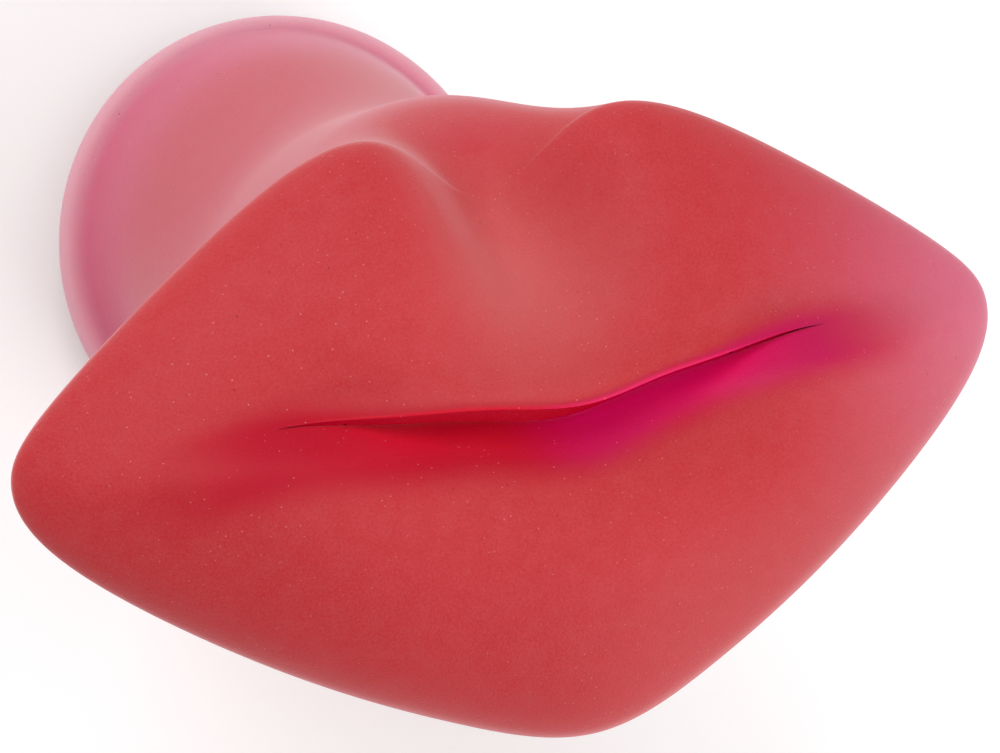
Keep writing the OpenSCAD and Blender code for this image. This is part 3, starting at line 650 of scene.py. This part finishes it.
class LipShape:
    """Rings of the soft skin, from the foot's edge up the neck and over the lips to the mouth."""

    def __init__(self, sides):
        self.sides = sides
        controls = LIP_RIGHT + [(-x, y) for x, y in LIP_RIGHT[7:0:-1]]
        self.edge = closed_spline(controls, sides)
        angle = np.degrees(np.arctan2(self.edge[:, 1], self.edge[:, 0]))
        self.angle = np.radians(np.where(angle > 90.01, angle - 360, angle))
        self.radius = np.linalg.norm(self.edge, axis=1)
        self.even = np.radians(90 - 360 * np.arange(sides) / sides)
        x, y = self.edge.T
        mouth_x = SLIT_HALF * np.sign(x) * np.minimum(1, np.abs(x) / LIP_REACH) ** 0.9
        self.mouth = np.stack([mouth_x, slit_line(mouth_x)
                               - np.where(y > 0, 0, slit_open(mouth_x))], 1)

    def axis_y(self, z):
        """Middle of the neck at a height, which leans forward from the foot up."""
        u = np.clip((NECK_Z - z) / (NECK_Z - BASE_H - FOOT_LIP_H), 0, 1)
        return -HEAD_LEAN * (1 - (0.3 * u + 0.7 * u * u * (3 - 2 * u)))

    def on_axis(self, r, a, z):
        """A ring of points at radius r and angle a round the neck's middle."""
        z = np.broadcast_to(z, a.shape)
        return np.stack([r * np.cos(a), self.axis_y(z) + r * np.sin(a), z], 1)

    def neck_radius(self, a):
        return NECK_HALF * NECK_OVAL / np.sqrt((NECK_OVAL * np.cos(a)) ** 2 + np.sin(a) ** 2)

    def foot_ring(self, turn):
        """Half round edge of the foot."""
        return self.on_axis(FOOT_EDGE + FOOT_LIP_H / 2 * math.cos(turn), self.even,
                            BASE_H + FOOT_LIP_H / 2 * (1 + math.sin(turn)))

    def neck_ring(self, psi, inset):
        """Neck, from the foot at a quarter turn to its waist at none."""
        z = NECK_Z - (NECK_Z - BASE_H - FOOT_LIP_H) * math.sin(psi)
        a = mix(self.even, self.angle, smooth(BASE_H, HEAD_START, z))
        wall = (FOOT_EDGE - (FOOT_EDGE - self.neck_radius(a)) * math.cos(psi)
                - WAIST * math.sin(2 * psi))
        return self.on_axis(wall - inset, a, z)

    def head_ring(self, t, inset):
        """Underside and rolled edge of the lips, as t goes from 0 to 1."""
        roll = 0.7
        psi = math.pi / 2 * min(1, t / roll)
        arc = math.pi / 2 * max(0, (t - roll) / (1 - roll))
        centre = self.radius - EDGE_R
        neck = self.neck_radius(self.angle) - inset
        low = RIM_HEIGHT - EDGE_R + inset
        if t < roll:
            out_r = mix(neck, centre, 1 - math.cos(psi))
            out_z = mix(HEAD_START, low, math.sin(psi))
        else:
            out_r = centre + (EDGE_R - inset) * math.sin(arc)
            out_z = RIM_HEIGHT - (EDGE_R - inset) * math.cos(arc)
        in_r = mix(neck, self.radius - inset, t * t)
        in_z = mix(HEAD_START, RIM_HEIGHT, t)
        flare = smooth(-10, 22, centre - self.neck_radius(self.angle))
        z = mix(in_z, out_z, flare) - BOW_DROP * bow(*self.edge.T) * t * t
        return self.on_axis(mix(in_r, out_r, flare), self.angle, z)

    def front_ring(self, s, inset):
        """Front of the lips, from their edge to the mouth as s goes from 0 to 1."""
        w = 1 - math.cos(math.pi / 2 * s)
        start = self.edge * (1 - inset / self.radius)[:, None]
        x, y = mix(start, self.mouth, w).T
        soft = bow(*self.edge.T)
        z = (RIM_HEIGHT + lip_height(x, y, w, soft) - BOW_DROP * soft * (1 - w) ** 2
             - inset * math.sqrt(1 - (1 - w) ** 2.2))
        return np.stack([x, y - HEAD_LEAN, z], 1)

    def bore_ring(self, r, z):
        return np.stack([r * np.cos(self.even), r * np.sin(self.even),
                         np.full(self.sides, z)], 1)


def store(piece, name, values):
    """Keeps a mask of 0 to 1 at the mesh's points."""
    layer = piece.data.attributes.new(name, "FLOAT", "POINT")
    layer.data.foreach_set("value", np.clip(values, 0, 1).astype(np.float32))


def skin_rings():
    """Rings of the skin in mm: up the outside to the mouth, then down the inside to the bore."""
    shape = LipShape(SKIN_SIDES)
    quarter = math.pi / 2
    rings = [shape.foot_ring(a) for a in np.linspace(-quarter, quarter, 11)]
    rings += [shape.neck_ring(a, 0) for a in np.linspace(quarter, 0, 30)[1:]]
    rings += [shape.head_ring(t, 0) for t in np.linspace(0, 1, 44)]
    rings += [shape.front_ring(s, 0) for s in np.linspace(0, 1, 90)[1:]]
    rings += [shape.front_ring(s, SKIN_T) for s in np.linspace(1, 0, 30)[:-1]]
    rings += [shape.head_ring(t, SKIN_T) for t in np.linspace(1, 0, 20)]
    rings += [shape.neck_ring(a, SKIN_T) for a in np.linspace(0, INNER_NECK_TURN, 10)[1:]]
    rings += [shape.bore_ring(r, z) for r, z in BORE_STEPS]
    rings = np.array(rings)
    rings[:, :, 1] += FOOT_Y
    low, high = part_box("lips_skin")
    return np.clip(rings, np.array(low) / MM, np.array(high) / MM)


def store_mouth_masks(skin, x, y, z):
    """Painted shade in a crimson band under the mouth's line, painted light coming through in
    magenta on its right half, and a painted glow at its lit heart.
    """
    below = slit_line(x) - y
    in_fold = below > -0.05
    length = (1 - smooth(46, 76, np.abs(x) - 9 * (x < 0))) * (z > RIM_HEIGHT - 2)
    spread = mix(1.0, 3.6, smooth(18, 56, np.abs(x)))
    lower = mix(8, 5, smooth(0, 34, x))
    above = np.exp(-(np.clip(-below - 0.2, 0, None) / spread) ** 2)
    depth = length * np.where(in_fold, 1 - smooth(lower, lower + 7, below), above)
    heart = np.where(in_fold, 1 - smooth(0, 11, below), 0)
    # mouth_depth holds the painted shade of the fold, mouth_heart its painted glow and mouth_glow
    # its painted magenta light.
    store(skin, "mouth_depth", depth)
    store(skin, "mouth_heart", heart * (1 - smooth(24, 52, np.abs(x))))
    store(skin, "mouth_glow", depth * smooth(-14, 6, x))


def store_pale_masks(skin, x, y, z):
    """Painted light: places that light comes through (the neck, the lips' right tip and the
    foot), a painted sheen on the bow and a painted highlight on the foot's rim.
    """
    reach = np.hypot(x, y - HEAD_LEAN)
    tip = smooth(30, 96, x) * (0.35 + 0.65 * bell(y - 2, 22)) * smooth(130, 150, z)
    foot = smooth(FOOT_R - 24, FOOT_R - 3, reach) * (1 - smooth(BASE_H + 14, BASE_H + 40, z))
    # Painted light coming through the vinyl: the neck paler below the lips.
    store(skin, "neck_light_through", 1 - smooth(RIM_HEIGHT - 45, RIM_HEIGHT - 4, z))
    # Painted light coming through the thin vinyl at the lips' right tip and round the foot.
    store(skin, "thin_edge_light", 0.8 * tip + 0.8 * foot)
    # Painted sheen: a pale patch on the bow of the upper lip.
    store(skin, "painted_bow_sheen", 0.35 * bell(x + 4, 15) * bell(y - 20, 17) * (z > RIM_HEIGHT - 14))
    # Painted highlight along the foot's rim, where it curves down into shade.
    store(skin, "foot_edge", smooth(FOOT_R - 6, FOOT_R - 0.5, reach) * (z < BASE_H + 12))


def make_lips():
    rings = skin_rings()
    skin = ring_mesh("lips_skin_soft", rings)
    x, y, z = rings.reshape(-1, 3).T
    y = y - FOOT_Y + HEAD_LEAN
    store_mouth_masks(skin, x, y, z)
    store_pale_masks(skin, x, y, z)
    skin.data.materials.append(MATERIALS["soft_vinyl"])
    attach(skin, "phone")
    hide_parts("lips_skin")


# ---------------------------------------------------------------- keys and base
def dish_z(x, y):
    """Height of a key's dished face, in mm, at x, y from the key's middle."""
    return KEY_FACE_Z - DISH_MIDDLE + math.sqrt(DISH_R ** 2 - x * x - y * y)


def key_legend(name, text, node, material):
    """Printed numeral on a key's face, read from below."""
    low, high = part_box(node)
    middle = (low + high) / 2
    curve = bpy.data.curves.new(name, "FONT")
    curve.body = text
    curve.size = LEGEND_SIZE * MM
    curve.align_x = "CENTER"
    curve.align_y = "CENTER"
    curve.extrude = INK_T
    letter = bpy.data.objects.new(name, curve)
    bpy.context.scene.collection.objects.link(letter)
    outline = bpy.data.meshes.new_from_object(letter)
    bpy.data.objects.remove(letter)
    bm = bmesh.new()
    bm.from_mesh(outline)
    bmesh.ops.triangulate(bm, faces=bm.faces)
    long_edges = [edge for edge in bm.edges if edge.calc_length() > LONG_EDGE]
    bmesh.ops.subdivide_edges(bm, edges=long_edges, cuts=1)
    for v in bm.verts:
        x, y = -v.co.x / MM, v.co.y / MM
        v.co = (middle.x + x * MM, middle.y + y * MM, dish_z(x, y) * MM - INK_LIFT - v.co.z)
    bmesh.ops.reverse_faces(bm, faces=bm.faces)
    legend = add_mesh(name, bm)
    legend.data.materials.append(material)
    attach(legend, body_of(frame["nodes"][node])[0])


def make_keypad():
    """Fourteen keys, twelve of them with a printed numeral or sign."""
    ink = moulded_plastic("legend_ink", (0.02, 0.02, 0.022), (0.03, 0.03, 0.03), 0.5, wear=0.0)
    names = [str(n) for n in range(1, 10)] + ["star", "0", "hash"]
    for name in names:
        moulded_copy("key_" + name, 0.3, MATERIALS["key_plastic"])
        text = {"star": "*", "hash": "#"}.get(name, name)
        key_legend("legend_" + name, text, "key_" + name, ink)
    for name in ("redial", "flash"):
        moulded_copy("key_" + name, 0.3, MATERIALS["side_key_plastic"])


def make_base():
    """The base's outer pieces, with their edges rounded."""
    moulded_copy("base_housing", 0.35, MATERIALS["base_plastic"])
    moulded_copy("keypad_cover", 0.2, MATERIALS["base_plastic"])
    moulded_copy("hook_plunger", 0.4, MATERIALS["key_plastic"])
    for name in ("ringer_knob", "tone_knob"):
        moulded_copy(name, 0.12, MATERIALS["key_plastic"])
    moulded_copy("rubber_feet", 0.5, MATERIALS["black_rubber"])
    moulded_copy("line_jack", 0.15, MATERIALS["capsule_plastic"])


def make_foam_sleeve():
    """Foam between the spine tube and the skin, with the uneven cut face of open foam."""
    sleeve = add_mesh("foam_sleeve_padded", welded_shape("foam_sleeve"))
    sleeve.data.materials.clear()
    remesh = sleeve.modifiers.new("remesh", "REMESH")
    remesh.mode = "VOXEL"
    remesh.voxel_size = FOAM_VOXEL
    apply_modifiers(sleeve)
    for v in sleeve.data.vertices:
        x, y, z = v.co / MM
        dent = 0.6 + 0.3 * math.sin(1.7 * x + 0.6 * z) * math.sin(1.3 * y - 0.8 * z)
        v.co -= v.normal * dent * MM
    sleeve.data.shade_smooth()
    sleeve.data.materials.append(MATERIALS["foam"])
    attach(sleeve, "phone")
    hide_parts("foam_sleeve")


def dress_cad_nodes():
    """Every CAD node that still shows gets its slot's finish."""
    for part in frame["record"]["subparts"]:
        node = frame["nodes"][part["node"]]
        node.data.materials.clear()
        node.data.materials.append(MATERIALS[part["material_slot"]])


place_camera()
light_the_studio()
lay_floor()
dress_cad_nodes()
make_lips()
make_keypad()
make_base()
make_foam_sleeve()
